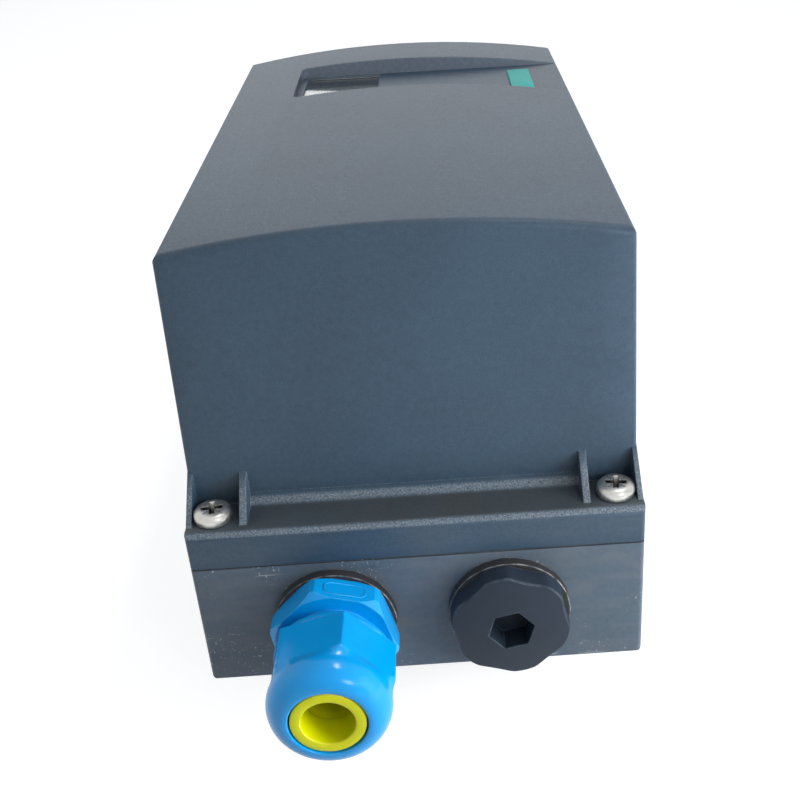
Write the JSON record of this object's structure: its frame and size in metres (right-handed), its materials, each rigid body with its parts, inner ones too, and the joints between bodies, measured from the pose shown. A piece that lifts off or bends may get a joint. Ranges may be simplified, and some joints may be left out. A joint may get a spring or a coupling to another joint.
{
  "type": "valve positioner",
  "caption": "Electropneumatic valve positioner: moulded box housing with crowned cover, cable gland, blanking plug, air ports on one side and a feedback shaft at the rear.",
  "frame": {"origin": "feedback shaft axis on the rear mounting face, in the middle of the four mounting holes", "axes": "+X towards the air ports, +Y from the cable entries to the display end, +Z out of the front cover"},
  "size_m": [0.095, 0.2157, 0.1119],
  "materials": {
    "housing_plastic": "dark blue-grey moulded polycarbonate with a fine grain",
    "clear_plastic": "clear moulded polycarbonate",
    "zinc_steel": "bright zinc plated steel",
    "stainless_steel": "turned stainless steel",
    "brass": "plain brass",
    "aluminium": "machined aluminium",
    "black_rubber": "matt black rubber",
    "yellow_rubber": "bright yellow moulded rubber",
    "blue_plastic": "bright blue moulded polyamide",
    "black_plastic": "near black moulded polyamide",
    "white_plastic": "natural white acetal",
    "grey_plastic": "light grey moulded plastic",
    "yellow_plastic": "yellow moulded plastic",
    "green_plastic": "green moulded polyamide",
    "key_plastic": "pale grey moulded plastic",
    "circuit_board": "green solder resist on glass fibre",
    "display_glass": "grey reflective display"
  },
  "bodies": {
    "base": {"base_housing": "housing_plastic", "mounting_inserts": "brass", "cover_inserts": "brass", "cover_gasket": "black_rubber", "gland_sealing_ring": "black_rubber", "gland_body": "blue_plastic", "plug_sealing_ring": "black_rubber", "blanking_plug": "black_plastic", "shaft_bush": "brass", "shaft_seal": "black_rubber", "gear_bracket": "aluminium", "bracket_screws": "zinc_steel", "potentiometer": "black_plastic", "pneumatic_block": "aluminium", "block_gasket": "black_rubber", "block_screws": "zinc_steel", "port_screens": "stainless_steel", "exhaust_silencer": "brass", "piezo_valve_unit": "black_plastic", "electronics_tray": "grey_plastic", "tray_screws": "zinc_steel", "main_board": "circuit_board", "board_components": "black_plastic", "board_spacers": "brass", "option_board": "circuit_board", "main_terminals": "green_plastic", "option_terminals": "green_plastic", "terminal_screws": "zinc_steel", "module_cover": "grey_plastic", "display_board": "circuit_board", "display_module": "display_glass", "key_switches": "black_plastic", "pot_lead": "black_rubber", "valve_lead": "black_rubber"},
    "cover": {"front_cover": "housing_plastic", "display_window": "clear_plastic", "cover_screws": "zinc_steel"},
    "feedback": {"feedback_shaft": "stainless_steel", "drive_gear": "white_plastic", "disc_spring": "stainless_steel", "retaining_ring": "stainless_steel", "clutch_wheel": "yellow_plastic"},
    "pot_rotor": {"pot_shaft": "stainless_steel", "pot_pinion": "white_plastic"},
    "gland_insert": {"gland_seal": "yellow_rubber"},
    "gland_cap": {"gland_nut": "blue_plastic"},
    "mode_button": {"mode_key": "key_plastic"},
    "minus_button": {"minus_key": "key_plastic"},
    "plus_button": {"plus_key": "key_plastic"},
    "restrictor_1": {"restrictor_screw_1": "brass"},
    "restrictor_2": {"restrictor_screw_2": "brass"},
    "purge_slide": {"purge_switch": "yellow_plastic"}
  },
  "joints": [
    {"name": "feedback_turn", "type": "hinge", "parent": "base", "child": "feedback", "pos_m": [0, 0, 0], "axis": [0, 0, 1], "range_deg": [-50, 50]},
    {"name": "pot_turn", "type": "hinge", "parent": "base", "child": "pot_rotor", "pos_m": [-0.0288, 0, 0], "axis": [0, 0, 1], "range_deg": [-150, 150]},
    {"name": "cover_lift", "type": "slide", "parent": "base", "child": "cover", "axis": [0, 0, 1], "range_m": [0, 0.09]},
    {"name": "gland_nut_turn", "type": "hinge", "parent": "gland_insert", "child": "gland_cap", "pos_m": [-0.0185, -0.11225, 0.0149], "axis": [0, -1, 0], "range_deg": [0, 720]},
    {"name": "gland_seal_travel", "type": "slide", "parent": "base", "child": "gland_insert", "axis": [0, -1, 0], "range_m": [0, 0.003]},
    {"name": "mode_press", "type": "slide", "parent": "base", "child": "mode_button", "axis": [0, 0, -1], "range_m": [0, 0.001], "stiffness_N_per_m": 800},
    {"name": "minus_press", "type": "slide", "parent": "base", "child": "minus_button", "axis": [0, 0, -1], "range_m": [0, 0.001], "stiffness_N_per_m": 800},
    {"name": "plus_press", "type": "slide", "parent": "base", "child": "plus_button", "axis": [0, 0, -1], "range_m": [0, 0.001], "stiffness_N_per_m": 800},
    {"name": "restrictor_1_turn", "type": "hinge", "parent": "base", "child": "restrictor_1", "pos_m": [0.045, -0.029, 0.0155], "axis": [1, 0, 0], "range_deg": [0, 720]},
    {"name": "restrictor_2_turn", "type": "hinge", "parent": "base", "child": "restrictor_2", "pos_m": [0.045, 0.029, 0.0155], "axis": [1, 0, 0], "range_deg": [0, 720]},
    {"name": "purge_shift", "type": "slide", "parent": "base", "child": "purge_slide", "axis": [0, 1, 0], "range_m": [0, 0.006]}
  ],
  "couplings": [
    {"joint": "pot_turn", "follows": "feedback_turn", "ratio": -3},
    {"joint": "gland_nut_turn", "follows": "gland_seal_travel", "rad_per_m": 4188.8}
  ]
}
